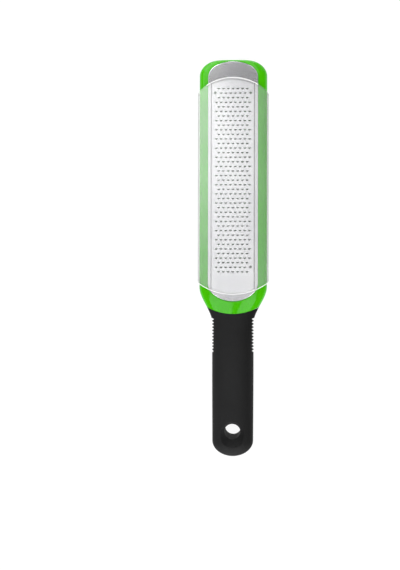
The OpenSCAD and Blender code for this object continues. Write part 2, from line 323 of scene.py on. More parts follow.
handle_steps = span(RISE_AT + RISE_L, OVERALL_L - END_L, HANDLE_STEPS)[1:]
end_steps = [OVERALL_L - END_L + END_L * math.sin(a) for a in quarter[1:]]
grip_steps = neck_steps[GRIP_FIRST_STEP:] + handle_steps + end_steps
grip_skin = loft("grip_skin", grip_steps, GRIP_POINTS)
cut(grip_skin, seam_block("seam_tool", gap=0.12))
for side in (-1, 1):
    points, faces = [], []
    for k in range(NOTCHES):
        notch = block("notch", notch_outline(k, side))
        for face in notch.data.polygons:
            faces.append(tuple(i + len(points) for i in face.vertices))
        points += [v.co / MM for v in notch.data.vertices]
        bpy.data.objects.remove(notch)
    cut(grip_skin, new_object("notches", points, faces))
print("notches on each side:", NOTCHES)

# %% [markdown]
# ## The hang hole
# At the grip's end a slanted hole runs through between two shallow dishes, so that the tool hangs
# on a hook. A cylinder and two balls cut them, as a mould maker's cores would leave them.

# %% Cut the hang hole
HANG_D, HANG_AT, HANG_TILT, BORE_L = 12.8, 21.6, 12.0, 60
SCOOP_R, SCOOP_DEEP, SCOOP_SHIFT = 10.5, 4.5, 4.5
CORE_POINTS, BALL_RINGS = 96, 64

hang_y, hang_r = HANG_AT - OVERALL_L / 2, HANG_D / 2 * MM
bm = bmesh.new()
bmesh.ops.create_cone(
    bm, cap_ends=True, segments=CORE_POINTS, radius1=hang_r, radius2=hang_r, depth=BORE_L * MM
)
tilt = math.radians(HANG_TILT)
for v in bm.verts:
    y, z = v.co.y, v.co.z
    v.co.y = y * math.cos(tilt) - z * math.sin(tilt) + hang_y * MM
    v.co.z = y * math.sin(tilt) + z * math.cos(tilt) + END_T / 2 * MM
cut(grip_skin, from_bmesh("hole", bm))

ball_r = (SCOOP_R**2 + SCOOP_DEEP**2) / (2 * SCOOP_DEEP)
for side in (1, -1):
    bm = bmesh.new()
    bmesh.ops.create_uvsphere(
        bm, u_segments=CORE_POINTS, v_segments=BALL_RINGS, radius=ball_r * MM
    )
    ball_z = END_T / 2 + side * (END_T / 2 - SCOOP_DEEP + ball_r)
    centre = Vector((0, hang_y - side * SCOOP_SHIFT, ball_z)) * MM
    bmesh.ops.translate(bm, verts=bm.verts, vec=centre)
    cut(grip_skin, from_bmesh("ball", bm))
outward(grip_skin)
soften(grip_skin, width=0.3)
smooth(grip_skin)
print("grip faces:", len(grip_skin.data.polygons))

# %% [markdown]
# ## The teeth
# A rasp's teeth stand in rows that are shifted by half a step, so that no strip of food is
# missed. Three places in the outer columns hold round locating holes instead, which centre the
# plate when it is etched and pressed.

# %% Lay out the teeth
ROWS, ROW_TEETH, ROW_PITCH, TOOTH_PITCH, FIRST_ROW = 41, 8, 3.67, 3.8, 23.0
HOLE_X, HOLE_R, TOOTH_H = 14.2, 1.15, 0.5

tooth_places, hole_places = [], []
for row in range(1, ROWS + 1):
    y = y_at(FIRST_ROW + (row - 1) * ROW_PITCH)
    count = ROW_TEETH if row % 2 == 0 else ROW_TEETH - 1
    for i in range(count):
        first, last = i == 0, i == count - 1
        if (row == 2 and (first or last)) or (row == ROWS - 1 and last):
            hole_places.append((math.copysign(HOLE_X, i - count / 2 + 0.5), y))
        else:
            tooth_places.append(((i - (count - 1) / 2) * TOOTH_PITCH, y))
print("teeth:", len(tooth_places), "locating holes:", len(hole_places))

# %% [markdown]
# ## The flat of the plate
# Acid cuts each opening through thin sheet. The flat part is triangulated round all the openings
# at once, and the triangles inside an opening are left out. Cutting 304 holes one after another
# would be slow. A grid of cells finds the opening near a triangle without asking all of them.

# %% Build the flat of the plate
HOOD_R, HOOD_UP, HOOD_LIP, HOOD_STEPS, HOOD_RINGS = 1.2, 0.25, 0.05, 12, 4
ROLL_R, ROLL_STEPS, HOLE_POINTS, EDGE_STEPS = 0.6, 8, 24, (12, 30)
CELL, NEAR_ENOUGH = 4, 1e-6


def plate_loop(inset):
    return arched(*PLATE, inset=inset, steps=EDGE_STEPS)


flat_rim = plate_loop(ROLL_R)
flat_points = list(flat_rim)
edges = [(i, (i + 1) % len(flat_rim)) for i in range(len(flat_rim))]
openings = {}


def cell_of(x, y):
    return round(x / CELL), round(y / CELL)


def add_ring(cx, cy, r, count):
    start = len(flat_points)
    for i in range(count):
        a = 2 * math.pi * i / count
        flat_points.append((cx + r * math.cos(a), cy + r * math.sin(a)))
        edges.append((start + i, start + (i + 1) % count))
    openings.setdefault(cell_of(cx, cy), []).append((cx, cy, r))


def in_opening(x, y):
    gx, gy = cell_of(x, y)
    cells = [(ix, iy) for ix in (gx - 1, gx, gx + 1) for iy in (gy - 1, gy, gy + 1)]
    near = [ring for cell in cells for ring in openings.get(cell, [])]
    return any((x - cx) ** 2 + (y - cy) ** 2 < r * r for cx, cy, r in near)


for x, y in tooth_places:
    add_ring(x, y + HOOD_UP, HOOD_R, 2 * HOOD_STEPS)
for x, y in hole_places:
    add_ring(x, y, HOLE_R, HOLE_POINTS)
made = geometry.delaunay_2d_cdt([Vector(p) for p in flat_points], edges, [], 0, NEAR_ENOUGH)
plate_points = [(p.x, p.y, PLATE_Z) for p in made[0]]
plate_faces = []
for face in made[2]:
    x, y = (sum(made[0][i][axis] for i in face) / len(face) for axis in (0, 1))
    if not in_opening(x, y):
        plate_faces.append(tuple(face))
print("flat triangles:", len(plate_faces))

# %% [markdown]
# ## The hoods
# A press pushes the tongue beside each opening up into a small hood with a sharp lip. Each hood
# is a patch of its own that starts on the opening's rim, on the side of the tip, and rises to its
# lip above the opening's middle. The other half of the opening stays free for the zest.

# %% Raise the hoods
for x, y in tooth_places:
    start = len(plate_points)
    for i in range(HOOD_STEPS + 1):
        a = math.pi * i / HOOD_STEPS
        c, s = math.cos(a), math.sin(a)
        for j in range(HOOD_RINGS + 1):
            t = j / HOOD_RINGS
            py = mix(HOOD_R * s, HOOD_LIP * s, t) + y + HOOD_UP
            plate_points.append((x + HOOD_R * c, py, PLATE_Z + TOOTH_H * s * ease(t)))
    for i in range(HOOD_STEPS):
        for j in range(HOOD_RINGS):
            p = start + i * (HOOD_RINGS + 1) + j
            plate_faces.append((p, p + 1, p + HOOD_RINGS + 2, p + HOOD_RINGS + 1))
print("points with the hoods:", len(plate_points))

# %% [markdown]
# ## The plate's edge and its thickness
# The sheet rolls down into the frame at its edge, which makes it stiff and hides its burr. The
# roll is a few loops round the plate. Merging joins the hoods and the roll to the flat, and a
# solidify modifier then gives the whole sheet its thickness. The level faces are shaded flat, so
# that no soft shading leaks into them from the hoods.

# %% Roll the edge and give the sheet its thickness
MERGE_WITHIN, LEVEL = 2e-6, 0.9999

loops = []
for k in range(ROLL_STEPS + 1):
    a = math.radians(90 * k / ROLL_STEPS)
    z = PLATE_Z - ROLL_R * (1 - math.cos(a))
    loops.append([(x, y, z) for x, y in plate_loop(ROLL_R * (1 - math.sin(a)))])
loops.append([(x, y, PLATE_Z - PLATE_LIP) for x, y in plate_loop(0.0)])
start, n = len(plate_points), len(flat_rim)
for loop in loops:
    plate_points += loop
for k in range(len(loops) - 1):
    for i in range(n):
        a, b = start + k * n + i, start + k * n + (i + 1) % n
        plate_faces.append((a, a + n, b + n, b))

etched_plate = new_object("etched_plate", plate_points, plate_faces)
bm = bmesh.new()
bm.from_mesh(etched_plate.data)
bmesh.ops.remove_doubles(bm, verts=bm.verts, dist=MERGE_WITHIN)
bmesh.ops.recalc_face_normals(bm, faces=bm.faces)
if sum(f.normal.z * f.calc_area() for f in bm.faces) < 0:
    bmesh.ops.reverse_faces(bm, faces=bm.faces)
bm.to_mesh(etched_plate.data)
bm.free()
m = etched_plate.modifiers.new("sheet", "SOLIDIFY")
m.thickness, m.offset = PLATE_T * MM, -1
bake(etched_plate)
smooth(etched_plate, 40)
for face in etched_plate.data.polygons:
    if abs(face.normal.z) > LEVEL:
        face.use_smooth = False
print("plate faces:", len(etched_plate.data.polygons))

# %% [markdown]
# ## The cover's section
# The cover is one long sleeve of even thickness, open underneath, with a raised panel over the
# teeth and arched ends. Its section follows the frame's rails at a running gap, from the lip that
# hooks under one rail, over the top, to the lip under the other. Half of it is worked out and
# then mirrored.

# %% Work out the cover's section
COVER_AT, COVER_L, COVER_TIP_R, COVER_BACK_R, COVER_CORNER_R = 14.1, 174.3, 38.0, 47.0, 3.0
COVER_T, COVER_GAP, COVER_FLAT_Z = 1.0, 0.35, 15.05
PANEL_W, PANEL_H, PANEL_BEVEL, PANEL_MARGIN = 34.6, 0.8, 0.8, 1.2
LIP_IN, LIP_CLEAR, SIDE_DEEP, RIM_X = 7.0, 0.2, 1.6, 20.5
SECTION_STEPS, PANEL_COLUMNS = 48, (13, 9, 4.5)
cover_half = FRAME_W / 2 + COVER_GAP + COVER_T
lip_x = FRAME_W / 2 + COVER_GAP - LIP_IN
rise_up = COVER_FLAT_Z + COVER_T - RAIL_MID
rise_down = RAIL_MID - (RAIL_LOW - COVER_GAP - COVER_T)

lip_share = (1 - (lip_x / cover_half) ** LOW_POWER) ** (1 / LOW_POWER)
half_section = [(lip_x, RAIL_MID - rise_down * lip_share)]
for i in range(SECTION_STEPS + 1):
    a = math.radians(mix(-90, 90, i / SECTION_STEPS))
    c, s = math.cos(a), math.sin(a)
    n, rise = (TOP_POWER, rise_up) if s > 0 else (LOW_POWER, rise_down)
    x, z = cover_half * abs(c) ** (2 / n), RAIL_MID + rise * powered(s, 2 / n)
    if (s <= 0 and x > lip_x + LIP_CLEAR) or (s > 0 and z < COVER_FLAT_Z):
        half_section.append((x, z))
flat_share = (COVER_FLAT_Z - RAIL_MID) / rise_up
flat_x = cover_half * (1 - flat_share**TOP_POWER) ** (1 / TOP_POWER)
half_section.append((flat_x, COVER_FLAT_Z))
foot_column = len(half_section)
panel_top, panel_foot = (PANEL_W - PANEL_BEVEL) / 2, (PANEL_W + PANEL_BEVEL) / 2
half_section += [(x, COVER_FLAT_Z) for x in (panel_foot, panel_top, *PANEL_COLUMNS)]
section_loop = half_section + [(0, COVER_FLAT_Z)] + [(-x, z) for x, z in reversed(half_section)]
print("points in the cover's section:", len(section_loop))

# %% [markdown]
# ## The cover's faces
# A grid of quads suits the sleeve: the columns go round the section, the rows run along the tool,
# and each column stops where the arch cuts it. The panel is the middle columns, lifted between
# one margin and the other. Each quad also notes which kind of skin it wears, because rims, slopes
# and sides of clear plastic look different from its flats. Solidify then makes the wall, and
# its inner faces take the second set of slots.

# %% Build the cover
OUTSIDE, SLOPE, RIM, SIDE, PANEL, REAR_SLOPE, TIP_SLOPE = range(7)
SKIN_KINDS, SLOPE_STRIP = 7, 2
RIM_W, EDGE_L, LONG_STEPS, TOUCH = 0.7, 5, 18, 0.01
edge_rows = [0, RIM_W, PANEL_MARGIN - PANEL_BEVEL / 2, PANEL_MARGIN + PANEL_BEVEL / 2, EDGE_L]
rows = [(0, e) for e in edge_rows] + [(t, 0) for t in span(0.05, 0.95, LONG_STEPS)]
rows += [(1, e) for e in reversed(edge_rows)]
cover_middle = y_at(COVER_AT + COVER_L / 2)
n, last_strip = len(section_loop), len(rows) - 2
far_foot_column = n - 2 - foot_column


def cover_reach(x, end_r):
    """Half the cover's length at a distance from its middle line, for an end of a given radius."""
    x = min(abs(x), cover_half)
    cx = cover_half - COVER_CORNER_R
    rise = math.sqrt((end_r - COVER_CORNER_R) ** 2 - cx**2)
    if x * (end_r - COVER_CORNER_R) <= cx * end_r:
        y = math.sqrt(end_r**2 - x**2)
    else:
        y = rise + math.sqrt(max(0.0, COVER_CORNER_R**2 - (x - cx) ** 2))
    return COVER_L / 2 - end_r + y


def skin_kind(strip, column):
    on_panel = foot_column <= column <= far_foot_column
    between = SLOPE_STRIP <= strip <= last_strip - SLOPE_STRIP
    x, next_x = (abs(section_loop[j][0]) for j in (column, column + 1))
    if strip == last_strip or (strip == 0 and x < RIM_X):
        return RIM
    if min(x, next_x) > cover_half - SIDE_DEEP:
        return SIDE
    if on_panel and strip == last_strip - SLOPE_STRIP:
        return REAR_SLOPE
    if column in (foot_column, far_foot_column) and between:
        return SLOPE
    if on_panel and strip == SLOPE_STRIP:
        return TIP_SLOPE
    return PANEL if on_panel and between else OUTSIDE


points, faces, kinds = [], [], []
for end, value in rows:
    for x, z in section_loop:
        front, back = cover_reach(x, COVER_TIP_R), -cover_reach(x, COVER_BACK_R)
        if end == 0:
            y, lifted = front - value, value > PANEL_MARGIN
        elif end == 1:
            y, lifted = back + value, value > PANEL_MARGIN
        else:
            y, lifted = mix(front - EDGE_L, back + EDGE_L, end), True
        on_top = z == COVER_FLAT_Z and abs(x) <= panel_top + TOUCH
        points.append((x, cover_middle + y, z + (PANEL_H if lifted and on_top else 0)))
for strip in range(last_strip + 1):
    for column in range(n - 1):
        a = strip * n + column
        faces.append((a, a + n, a + n + 1, a + 1))
        kinds.append(skin_kind(strip, column))
cover_sleeve = new_object("cover_sleeve", points, faces)
for slot in range(2 * SKIN_KINDS):
    cover_sleeve.data.materials.append(None)
cover_sleeve.data.polygons.foreach_set("material_index", kinds)
outward(cover_sleeve)
if cover_sleeve.data.polygons[len(faces) // 2 + n // 2].normal.z < 0:
    cover_sleeve.data.flip_normals()
m = cover_sleeve.modifiers.new("wall", "SOLIDIFY")
m.thickness, m.offset, m.use_even_offset = COVER_T * MM, -1, True
m.material_offset, m.material_offset_rim = SKIN_KINDS, 0
bake(cover_sleeve)
soften(cover_sleeve, width=0.2, angle=30)
smooth(cover_sleeve, 30)
print("cover faces:", len(cover_sleeve.data.polygons))

# %% [markdown]
# ## The foot under the tip
# A soft pad keeps the tip from skidding on the board. It is a low rounded block whose edges are
# bevelled, because rubber mouldings never come out with a knife edge.

# %% Build the foot
tip_pad = block("tip_pad", oblong(*FOOT, steps=16), low=0, high=FOOT_H)
outward(tip_pad)
soften(tip_pad, width=0.5, segments=3)
smooth(tip_pad)
print("foot faces:", len(tip_pad.data.polygons))

# %% [markdown]
# ## Which piece rides on which body
# The tool has one moving joint: the cover slides along it. Each new piece takes the place of one
# solid and rides on that solid's body, so the cover moves in every pose without any animation
# here.

# %% Hand the pieces to their bodies
for piece, node, body, finish in (
    (frame_shell, "frame", "tool", "green_plastic"),
    (etched_plate, "blade", "tool", "etched_steel"),
    (grip_skin, "grip", "tool", "soft_black"),
    (tip_pad, "tip_foot", "tool", "soft_black"),
    (cover_sleeve, "cover", "cover", "frosted_plastic"),
):
    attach(piece, body)
    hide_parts(node)
    print(piece.name, "stands for", node, "on", body)

# %% [markdown]
# ## Effects that several finishes share
# Moulded plastic, soft rubber and etched steel all have a fine grain and slow, cloudy changes
# of tone. Each effect is built once as a node group with named inputs, and each material then
# places it with its own values. The groups work from object coordinates, so that the pattern
# keeps its real size and sticks to the piece when it moves.

# %% Helpers for node groups
NUMBER, COLOUR, VECTOR = "NodeSocketFloat", "NodeSocketColor", "NodeSocketVector"


def new_group(name, inputs, outputs):
    group = bpy.data.node_groups.new(name, "ShaderNodeTree")
    for label, kind, value in inputs:
        socket = group.interface.new_socket(label, in_out="INPUT", socket_type=kind)
        socket.default_value = value
    for label, kind in outputs:
        group.interface.new_socket(label, in_out="OUTPUT", socket_type=kind)
    return group, group.nodes.new("NodeGroupInput"), group.nodes.new("NodeGroupOutput")


def add(tree, kind, **settings):
    node = tree.nodes.new(kind)
    for key, value in settings.items():
        setattr(node, key, value)
    return node


def put(node, **values):
    """Sets a node's inputs by their labels, with an underscore for each space."""
    for label, value in values.items():
        node.inputs[label.replace("_", " ")].default_value = value


def join(tree, start, end):
    tree.links.new(start, end)


def grey(v):
    return (v, v, v, 1)


def calc(tree, kind, output, operation, *values):
    """Adds a node that works on sockets or plain numbers, and gives its output."""
    node = add(tree, kind, operation=operation)
    for value, socket in zip(values, node.inputs):
        if isinstance(value, bpy.types.NodeSocket):
            join(tree, value, socket)
        else:
            socket.default_value = value
    return node.outputs[output]


def number(tree, operation, *values):
    return calc(tree, "ShaderNodeMath", "Value", operation, *values)


def vector(tree, operation, *values):
    return calc(tree, "ShaderNodeVectorMath", "Vector", operation, *values)


def ramp(tree, value, kind="LINEAR", **ends):
    """Moves a value from one range to another, evenly or with a smooth start and stop."""
    node = add(tree, "ShaderNodeMapRange", interpolation_type=kind)
    put(node, **ends)
    join(tree, value, node.inputs["Value"])
    return node


def colour_mix(tree, fraction, first, second):
    """Mixes two colours. Of the node's many sockets only those of kind RGBA take part."""
    blend = add(tree, "ShaderNodeMix", data_type="RGBA")
    ends = [s for s in blend.inputs if s.type == "RGBA"]
    join(tree, fraction, blend.inputs["Factor"])
    join(tree, first, ends[0])
    join(tree, second, ends[1])
    return [s for s in blend.outputs if s.type == "RGBA"][0]


def stretched_noise(tree, inputs, detail):
    place = add(tree, "ShaderNodeTexCoord")
    noise = add(tree, "ShaderNodeTexNoise")
    put(noise, Detail=detail)
    where = vector(tree, "MULTIPLY", place.outputs["Object"], inputs["Stretch"])
    join(tree, where, noise.inputs["Vector"])
    join(tree, inputs["Scale"], noise.inputs["Scale"])
    return noise.outputs["Fac"]


print("node helpers ready")

# %% [markdown]
# ### Fine grain
# No moulded or etched face is perfectly even: a fine grain breaks up its gloss. Noise stretched
# along one axis also gives the brushed look of rolled sheet. The group gives a roughness value
# and a height, so one noise serves both the gloss and the bump.

# %% Group: fine grain
grain, g_in, g_out = new_group(
    "fine_grain",
    [
        ("Scale", NUMBER, 2000.0),
        ("Stretch", VECTOR, (1.0, 1.0, 1.0)),
        ("Low", NUMBER, 0.3),
        ("High", NUMBER, 0.5),
    ],
    [("Value", NUMBER), ("Height", NUMBER)],
)
noise = stretched_noise(grain, g_in.outputs, detail=3.0)
spread = ramp(grain, noise, From_Min=0.3, From_Max=0.7)
join(grain, g_in.outputs["Low"], spread.inputs["To Min"])
join(grain, g_in.outputs["High"], spread.inputs["To Max"])
join(grain, spread.outputs["Result"], g_out.inputs["Value"])
join(grain, noise, g_out.inputs["Height"])
print("group:", grain.name)

# %% [markdown]
# ### Cloudy tone
# Handling, washing and the flow of plastic into a mould leave slow patches of slightly lighter
# and darker tone. A soft noise mixes two near colours. A painted image could do it too, but noise
# needs no file and never stretches.

# %% Group: cloudy tone
cloud, c_in, c_out = new_group(
    "cloudy_tone",
    [
        ("Colour A", COLOUR, grey(0.5)),
        ("Colour B", COLOUR, grey(0.6)),
        ("Scale", NUMBER, 30.0),
        ("Stretch", VECTOR, (1.0, 1.0, 1.0)),
    ],
    [("Colour", COLOUR)],
)
noise = stretched_noise(cloud, c_in.outputs, detail=2.0)
patches = ramp(cloud, noise, From_Min=0.35, From_Max=0.65).outputs["Result"]
tone = colour_mix(cloud, patches, c_in.outputs["Colour A"], c_in.outputs["Colour B"])
join(cloud, tone, c_out.inputs["Colour"])
print("group:", cloud.name)

# %% [markdown]
# ### Painted light and shade across a piece
# This group paints light and shade across a piece. It moves from one colour to another, between
# two corners given in metres, with a smooth step along each of two axes. The cover's films take it
# as a painted lighter haze toward the tip's left, the steel as painted shade at the tip's right
# corner, and the grip as painted shade on its right side.

# %% Group: painted light and shade
painted_slant, s_in, s_out = new_group(
    "painted_light_and_shade",
    [
        ("Dim", COLOUR, grey(0.5)),
        ("Painted", COLOUR, grey(0.9)),
        ("From", VECTOR, (0.0, -0.1, 0.0)),
        ("To", VECTOR, (0.0, 0.1, 0.0)),
    ],
    [("Colour", COLOUR)],
)
place = add(painted_slant, "ShaderNodeTexCoord")
away = vector(painted_slant, "SUBTRACT", place.outputs["Object"], s_in.outputs["From"])
reach = vector(painted_slant, "SUBTRACT", s_in.outputs["To"], s_in.outputs["From"])
parts = add(painted_slant, "ShaderNodeSeparateXYZ")
join(painted_slant, vector(painted_slant, "DIVIDE", away, reach), parts.inputs["Vector"])
steps = [ramp(painted_slant, parts.outputs[axis], "SMOOTHSTEP").outputs["Result"] for axis in ("X", "Y")]
mask = number(painted_slant, "MULTIPLY", *steps)
tone = colour_mix(painted_slant, mask, s_in.outputs["Dim"], s_in.outputs["Painted"])
join(painted_slant, tone, s_out.inputs["Colour"])
print("group:", painted_slant.name)

# %% [markdown]
# ## Helpers for the finishes
# Every finish starts from one Principled shader. Numbers that are the same all over the surface
# are set on the shader itself, and only what changes over the surface comes in by a link. That
# keeps each material easy to read, and lets it be exported.

# %% Helpers for materials


def finish_material(name, **constants):
    material = bpy.data.materials.new(name)
    material.use_nodes = True
    tree = material.node_tree
    shader = tree.nodes["Principled BSDF"]
    put(shader, **constants)
    return material, tree, shader


def place_group(tree, group, **values):
    node = add(tree, "ShaderNodeGroup", node_tree=group)
    put(node, **values)
    return node


def shade_surface(tree, fraction, first, second):
    """Makes the surface a mix of two shaders."""
    pick = add(tree, "ShaderNodeMixShader")
    for value, socket in zip((fraction, first, second), pick.inputs):
        join(tree, value, socket)
    join(tree, pick.outputs["Shader"], tree.nodes["Material Output"].inputs["Surface"])


def tint(tree, shader, clouds, painted_light):
    """Colours the surface with slow clouds, times painted light and shade that changes across the
    piece.
    """
    tones = [place_group(tree, cloud, **clouds), place_group(tree, painted_slant, **painted_light)]
    both = vector(tree, "MULTIPLY", *(tone.outputs["Colour"] for tone in tones))
    join(tree, both, shader.inputs["Base Color"])


def roughen(tree, shader, strength, distance, **values):
    """Breaks up the gloss with fine grain, and gives the same grain a little height."""
    gloss = place_group(tree, grain, **values)
    join(tree, gloss.outputs["Value"], shader.inputs["Roughness"])
    bump = add(tree, "ShaderNodeBump")
    put(bump, Strength=strength, Distance=distance)
    join(tree, gloss.outputs["Height"], bump.inputs["Height"])
    join(tree, bump.outputs["Normal"], shader.inputs["Normal"])


print("material helpers ready")

# %% [markdown]
# ## Green plastic
# The frame is a hard, glossy moulding, so its roughness is low and its colour is saturated, with
# hardly any blue. A little cloudiness and a shallow bump keep it from looking like paint.

# %% Green plastic
green, tree, shader = finish_material("green_abs", IOR=1.5)
DEEP_GREEN, LIGHT_GREEN = (0.053, 0.47, 0.0004, 1), (0.062, 0.505, 0.0008, 1)
tone = place_group(tree, cloud, Colour_A=DEEP_GREEN, Colour_B=LIGHT_GREEN, Scale=45.0)
join(tree, tone.outputs["Colour"], shader.inputs["Base Color"])
roughen(tree, shader, strength=0.025, distance=0.0002, Scale=900.0, Low=0.03, High=0.06)
frame_shell.data.materials.append(green)
print("finish:", green.name)

# %% [markdown]
# ## Etched steel
# Stainless sheet is a full metal, so it shows what stands round it more than a colour of its own.
# Grain drawn out along the tool stands for the rolling marks, and painted shade darkens the
# steel toward the right corner at the tip.

# %% Etched steel
# The second steel colour is painted shade: the steel is darkened toward the tip's right corner.
BRIGHT_STEEL, SHADED_STEEL = (0.93, 0.93, 0.945, 1), (0.7, 0.7, 0.715, 1)
steel, tree, shader = finish_material("etched_steel_satin", Metallic=1.0)
tint(
    tree,
    shader,
    {"Colour_A": BRIGHT_STEEL, "Colour_B": grey(1.0), "Scale": 60.0, "Stretch": (1, 0.3, 1)},
    {"Dim": BRIGHT_STEEL, "Painted": SHADED_STEEL, "From": (-0.03, 0.12, 0), "To": (0.022, 0.15, 0)},
)
rolled = {"Scale": 3500.0, "Stretch": (1, 0.08, 1), "Low": 0.14, "High": 0.2}
roughen(tree, shader, strength=0.08, distance=0.0001, **rolled)
etched_plate.data.materials.append(steel)
print("finish:", steel.name)

# %% [markdown]
# ## Soft black rubber
# A soft grip is nearly black and takes light only as a broad dull sheen. Its roughness is high,
# its fine bump is stronger than that of the plastic, and its right side is painted a trace
# blacker, as painted shade.

# %% Soft black rubber
# The second black is painted shade: the grip is painted a trace blacker on its right side.
BLACK, SHADED_BLACK = (0.0068, 0.007, 0.0074, 1), (0.001, 0.001, 0.0011, 1)
rubber, tree, shader = finish_material("soft_rubber", IOR=1.34)
tint(
    tree,
    shader,
    {"Colour_A": grey(0.8), "Colour_B": grey(1), "Scale": 35.0},
    {"Dim": BLACK, "Painted": SHADED_BLACK, "From": (0.0, -0.16, 0), "To": (0.016, -0.159, 0)},
)
roughen(tree, shader, strength=0.3, distance=0.0002, Scale=2600.0, Low=0.6, High=0.8)
grip_skin.data.materials.append(rubber)
tip_pad.data.materials.append(rubber)
print("finish:", rubber.name)

# %% [markdown]
# ## Frosted plastic
# The cover is a clear plastic with a matt skin: what lies under it shows through a pale haze.
# Real scattering inside a thin wall is slow and noisy, so each face of the wall is a thin
# film instead. To the eye it is a haze of a given strength, and to light that passes on to the
# plate it is a soft glow. The haze is painted lighter from the rear right to the tip's left, as
# painted light. Lengthwise drawn clouds keep it from looking like glass.

# %% Helper for films
HAZE, HAZE_SPREAD = (0.62, 0.63, 0.625), (0.9, 1.1)
# The first two are painted light: they make the haze lighter toward the tip's left.
PAINTED_LIGHTER, PAINTED_LIGHTER_FAST, EVEN = (0.8, 1.9), (0.8, 2.6), (1, 1)


def film(name, haze, alpha, rough, glow=0, change=EVEN, ior=1.5):
    """One face of the cover's wall: a hazy skin to the eye, and a soft glow to what lies under."""
    material, tree, shader = finish_material(name, IOR=ior)
    # Change scales the haze at the rear right and at the tip's left: painted light where it grows,
    # painted shade where it falls.
    dim, painted_end = (tuple(v * h for h in haze) + (1,) for v in change)
    tint(
        tree,
        shader,
        {"Colour_A": grey(0.92), "Colour_B": grey(1), "Scale": 25.0, "Stretch": (1, 0.4, 1)},
        {"Dim": dim, "Painted": painted_end, "From": (0.02, -0.07, 0), "To": (-0.02, 0.12, 0)},
    )
    roughen(
        tree, shader, strength=0.05, distance=0.0001, Scale=1500.0, Low=rough[0], High=rough[1]
    )
    least, most = (alpha * v for v in HAZE_SPREAD)
    veil = place_group(tree, grain, Scale=60.0, Low=least, High=most)
    join(tree, veil.outputs["Value"], shader.inputs["Alpha"])
    if glow > 0:
        passed = add(tree, "ShaderNodeBsdfTranslucent")
        put(passed, Color=grey(glow))
    else:
        passed = add(tree, "ShaderNodeBsdfTransparent")
    to_eye = add(tree, "ShaderNodeLightPath").outputs["Is Camera Ray"]
    shade_surface(tree, to_eye, passed.outputs["BSDF"], shader.outputs["BSDF"])
    return material


print("film helper ready")

# %% [markdown]
# ### The cover's skins
# The raised panel is clearer than the rest. Its side slopes are painted dark lines and the tip's
# slope a paler line, as painted shade, and the rear slope is painted lighter, as painted light.
# The rims are painted near white as a painted highlight, and to the steel's mirror rays they are
# dim, which paints a dark line into the plate's reflection beside them as painted shade. The
# upright sides are looked through edge on, so they are denser. The skins stand in the order of the
# kinds of face, first for the outer faces and then for the inner ones.

# %% Frosted plastic
SHEEN, SHEEN_INSIDE, GLOW, SLOPE_IOR = (0.25, 0.35), (0.4, 0.5), 0.76, 1.2
outside = film("frosted_outside", HAZE, 0.15, (0.35, 0.45), change=PAINTED_LIGHTER)
inside = film("frosted_inside", HAZE, 0.15, SHEEN_INSIDE, GLOW, PAINTED_LIGHTER)
panel = film("frosted_panel", HAZE, 0.07, (0.3, 0.4), change=PAINTED_LIGHTER_FAST)
panel_inside = film("frosted_panel_inside", HAZE, 0.07, (0.35, 0.45), GLOW, PAINTED_LIGHTER_FAST)
# Painted shade and light: the three slope films differ only in haze, for dark side lines, a paler
# tip line and a lighter rear line.
slope = film("frosted_slope_painted_shade", (0.24, 0.24, 0.25), 0.55, SHEEN, change=(0.9, 0.7), ior=SLOPE_IOR)
tip_slope = film("frosted_tip_slope_painted_shade", (0.7, 0.7, 0.71), 0.5, SHEEN, ior=SLOPE_IOR)
rear_slope = film("frosted_rear_slope_painted_light", (0.8, 0.8, 0.8), 0.5, SHEEN, ior=SLOPE_IOR)
# Painted highlight: the rim's near-white haze; its weak glow paints a dark line into the plate's
# reflection.
rim = film("frosted_rim_painted_highlight", (0.97, 0.97, 0.97), 0.9, (0.3, 0.4), glow=0.3)
side = film("frosted_side", (0.4, 0.44, 0.4), 0.3, (0.3, 0.4))
skins = [outside, slope, rim, side, panel, rear_slope, tip_slope]
skins += [panel_inside if kind == PANEL else inside for kind in range(SKIN_KINDS)]
for slot, material in enumerate(skins):
    cover_sleeve.data.materials[slot] = material
print("films:", sorted({material.name for material in skins}))

# %% [markdown]
# ## The floor
# Product photographs stand on white paper. The floor here is plain pale paper that keeps the
# tool's shadow. Where the sky above it is open, the camera and the mirror-like surfaces see it
# as white. Close under the tool, where the open sky is hidden, it stays real paper, and below
# the plate's window it does so by half, so that the teeth open onto a dim grey.

# %% Floor
FLOOR_HALF, PAPER_WHITE, UNDER_WINDOW = 4, 1.07, 0.45
# The window's place on the floor in metres: axis, middle, and where the dimming ends and starts.
WINDOW_ON_FLOOR = (("X", 0.0, 0.017, 0.022), ("Y", 0.062, 0.08, 0.085))

floor_mesh = bpy.data.meshes.new("floor")
corners = [(x * FLOOR_HALF, y * FLOOR_HALF, 0) for x, y in ((-1, -1), (1, -1), (1, 1), (-1, 1))]
floor_mesh.from_pydata(corners, [], [(0, 1, 2, 3)])
floor = link("floor", floor_mesh)
paper, tree, shader = finish_material("pale_paper", Roughness=0.9, Base_Color=grey(0.9))
path = add(tree, "ShaderNodeLightPath")
seen = path.outputs["Is Camera Ray"]
for kind in ("Is Glossy Ray", "Is Transmission Ray"):
    seen = number(tree, "MAXIMUM", seen, path.outputs[kind])
open_sky = add(tree, "ShaderNodeAmbientOcclusion", samples=32)
put(open_sky, Distance=0.3)
lit = ramp(tree, open_sky.outputs["AO"], "SMOOTHSTEP", From_Min=0.012, From_Max=0.03, To_Max=0.88)
spot = add(tree, "ShaderNodeSeparateXYZ")
join(tree, add(tree, "ShaderNodeTexCoord").outputs["Object"], spot.inputs["Vector"])
outer = 0.0
for axis, middle, near, far in WINDOW_ON_FLOOR:
    offset = number(tree, "ABSOLUTE", number(tree, "SUBTRACT", spot.outputs[axis], middle))
    step = ramp(tree, offset, From_Min=near, From_Max=far, To_Min=UNDER_WINDOW)
    outer = number(tree, "MAXIMUM", step.outputs["Result"], outer)
